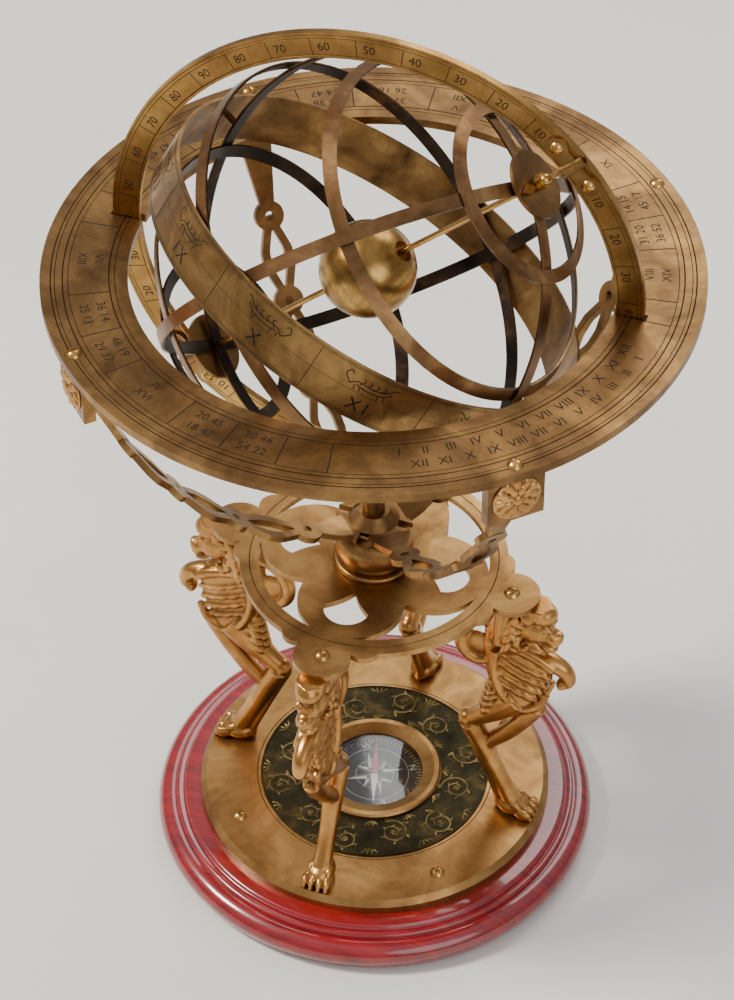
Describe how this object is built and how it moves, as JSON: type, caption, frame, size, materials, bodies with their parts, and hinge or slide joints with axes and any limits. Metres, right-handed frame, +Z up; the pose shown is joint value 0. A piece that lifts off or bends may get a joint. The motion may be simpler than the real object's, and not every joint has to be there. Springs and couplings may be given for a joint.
{
  "type": "armillary sphere",
  "caption": "Desk armillary sphere: hooped celestial globe on a polar rod in a sliding meridian ring, with horizon ring, fretwork arms, pierced plate, cast legs and a compass base",
  "frame": {"origin": "centre of the underside of the base", "axes": "+Z up; the meridian ring stands in the XZ plane with the north pole towards +X; -Y is the side that carries the meridian's numbers"},
  "size_m": [0.279, 0.279, 0.4558],
  "materials": {
    "red_lacquered_wood": "deep red gloss lacquer over turned wood",
    "felt": "green baize pad",
    "aged_brass": "antique brown brass, brushed, with dark engraving",
    "hoop_brass": "antique brass strip with a blackened inner face",
    "cast_brass": "cast brass, dark in the hollows and rubbed bright on the ridges",
    "bright_brass": "polished brass",
    "dark_embossed_brass": "embossed brass with a dark green-black patina in the ground",
    "black_card": "matt black printed card",
    "glass": "clear flat glass",
    "red_enamel": "red enamel",
    "white_enamel": "white enamel"
  },
  "bodies": {
    "stand": {"wooden_base": "red_lacquered_wood", "base_felt": "felt", "base_disc": "aged_brass", "base_disc_screws": "bright_brass", "floral_ring": "dark_embossed_brass", "compass_cup": "aged_brass", "compass_card": "black_card", "compass_pivot": "bright_brass", "compass_bezel": "aged_brass", "compass_glass": "glass", "leg_front": "cast_brass", "leg_right": "cast_brass", "leg_back": "cast_brass", "leg_left": "cast_brass", "leg_foot_screws": "bright_brass", "plate_screws": "bright_brass", "tracery_plate": "aged_brass", "pillar": "aged_brass", "pillar_bolt": "bright_brass", "support_arm_front": "aged_brass", "support_arm_right": "aged_brass", "support_arm_back": "aged_brass", "support_arm_left": "aged_brass", "rosette_block_front": "cast_brass", "rosette_block_right": "cast_brass", "rosette_block_back": "cast_brass", "rosette_block_left": "cast_brass", "rosette_front": "cast_brass", "rosette_right": "cast_brass", "rosette_back": "cast_brass", "rosette_left": "cast_brass", "arm_screws": "bright_brass", "horizon_ring": "aged_brass", "horizon_screws": "bright_brass", "meridian_cradle": "aged_brass"},
    "meridian": {"meridian_ring": "aged_brass", "polar_strap_north": "aged_brass", "strap_screws_north": "bright_brass", "polar_strap_south": "aged_brass", "strap_screws_south": "bright_brass", "polar_rod": "bright_brass", "rod_nut_north": "bright_brass", "rod_nut_south": "bright_brass"},
    "celestial_sphere": {"equinoctial_colure": "hoop_brass", "solstitial_colure": "hoop_brass", "equator_ring": "hoop_brass", "north_tropic_ring": "hoop_brass", "south_tropic_ring": "hoop_brass", "arctic_ring": "hoop_brass", "antarctic_ring": "hoop_brass", "zodiac_band": "aged_brass", "polar_disc_north": "aged_brass", "polar_disc_south": "aged_brass", "hoop_posts": "bright_brass"},
    "earth": {"earth_ball": "aged_brass"},
    "compass_needle": {"needle_north_half": "red_enamel", "needle_south_half": "white_enamel", "needle_cap": "bright_brass"},
    "pointer": {"hour_pointer": "aged_brass"}
  },
  "joints": [
    {"name": "meridian_tilt", "type": "hinge", "parent": "stand", "child": "meridian", "pos_m": [0, 0.0015, 0.3395], "axis": [0, -1, 0], "range_deg": [-28, 34]},
    {"name": "sphere_turn", "type": "hinge", "parent": "meridian", "child": "celestial_sphere", "pos_m": [0, 0, 0.3395], "axis": [0.7559, 0, 0.6547], "continuous": true},
    {"name": "earth_turn", "type": "hinge", "parent": "meridian", "child": "earth", "pos_m": [0, 0, 0.3395], "axis": [0.7559, 0, 0.6547], "continuous": true},
    {"name": "hour_pointer_turn", "type": "hinge", "parent": "meridian", "child": "pointer", "pos_m": [0, 0, 0.3395], "axis": [0.7559, 0, 0.6547], "continuous": true},
    {"name": "compass_needle_turn", "type": "hinge", "parent": "stand", "child": "compass_needle", "pos_m": [0, 0, 0.0222], "axis": [0, 0, 1], "continuous": true}
  ]
}
